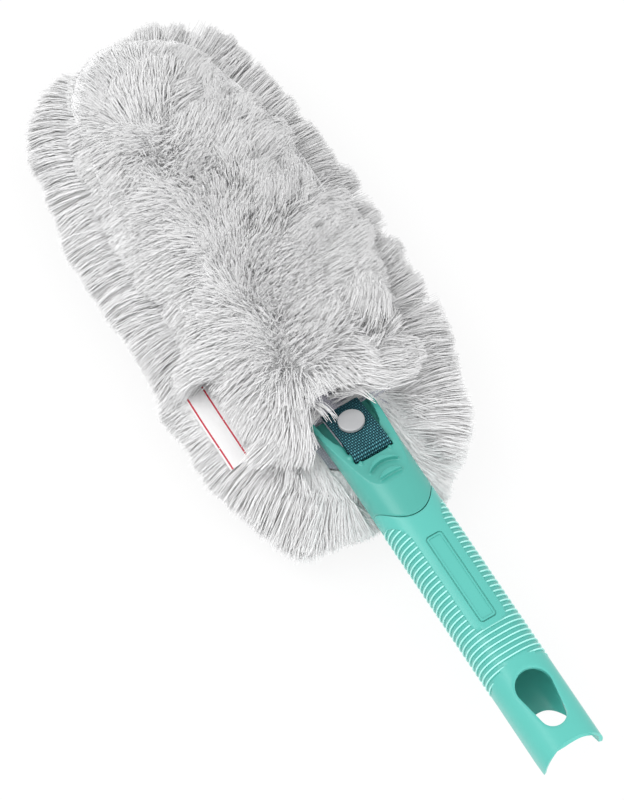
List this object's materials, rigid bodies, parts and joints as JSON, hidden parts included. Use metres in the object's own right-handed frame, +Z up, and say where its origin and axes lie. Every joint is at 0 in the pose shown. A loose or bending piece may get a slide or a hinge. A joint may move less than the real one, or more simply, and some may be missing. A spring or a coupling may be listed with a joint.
{
  "type": "microfiber duster",
  "caption": "Hand duster with a slip-on white microfiber pile cover over a flat paddle, held by a webbing snap strap to a ribbed mint plastic handle with a hanging hole.",
  "frame": {"origin": "on the floor under the middle of the duster's length, with the duster lying on its back", "axes": "+Y along the handle towards the pile head, +Z up out of the strap face, +X across"},
  "size_m": [0.1408, 0.441, 0.065],
  "materials": {
    "handle_plastic": "moulded mint polypropylene, satin",
    "paddle_plastic": "moulded off-white polypropylene",
    "webbing": "woven dark teal webbing",
    "snap_metal": "pearl grey pressed steel",
    "base_fabric": "pale lilac grey knitted polyester",
    "label_satin": "bare white satin ribbon",
    "pile": "long white microfiber yarn pile"
  },
  "bodies": {
    "handle": {"grip": "handle_plastic", "neck": "handle_plastic", "paddle": "paddle_plastic"},
    "strap": {"strap": "webbing", "snap_cap": "snap_metal", "snap_socket": "snap_metal"},
    "cover": {"cover_tab": "base_fabric", "snap_stud": "snap_metal", "snap_post": "snap_metal", "cover_front_panel": "base_fabric", "cover_back_panel": "base_fabric", "cover_side_band": "base_fabric", "side_label": "label_satin", "edge_pile": "pile", "back_pile": "pile", "front_pile": "pile", "crown_pile": "pile"}
  },
  "joints": [
    {"name": "strap_open", "type": "hinge", "parent": "handle", "child": "strap", "pos_m": [0, -0.0485, 0.0464], "axis": [1, 0, 0], "range_deg": [0, 90]},
    {"name": "cover_slide", "type": "slide", "parent": "handle", "child": "cover", "axis": [0, 1, 0], "range_m": [0, 0.24]}
  ]
}
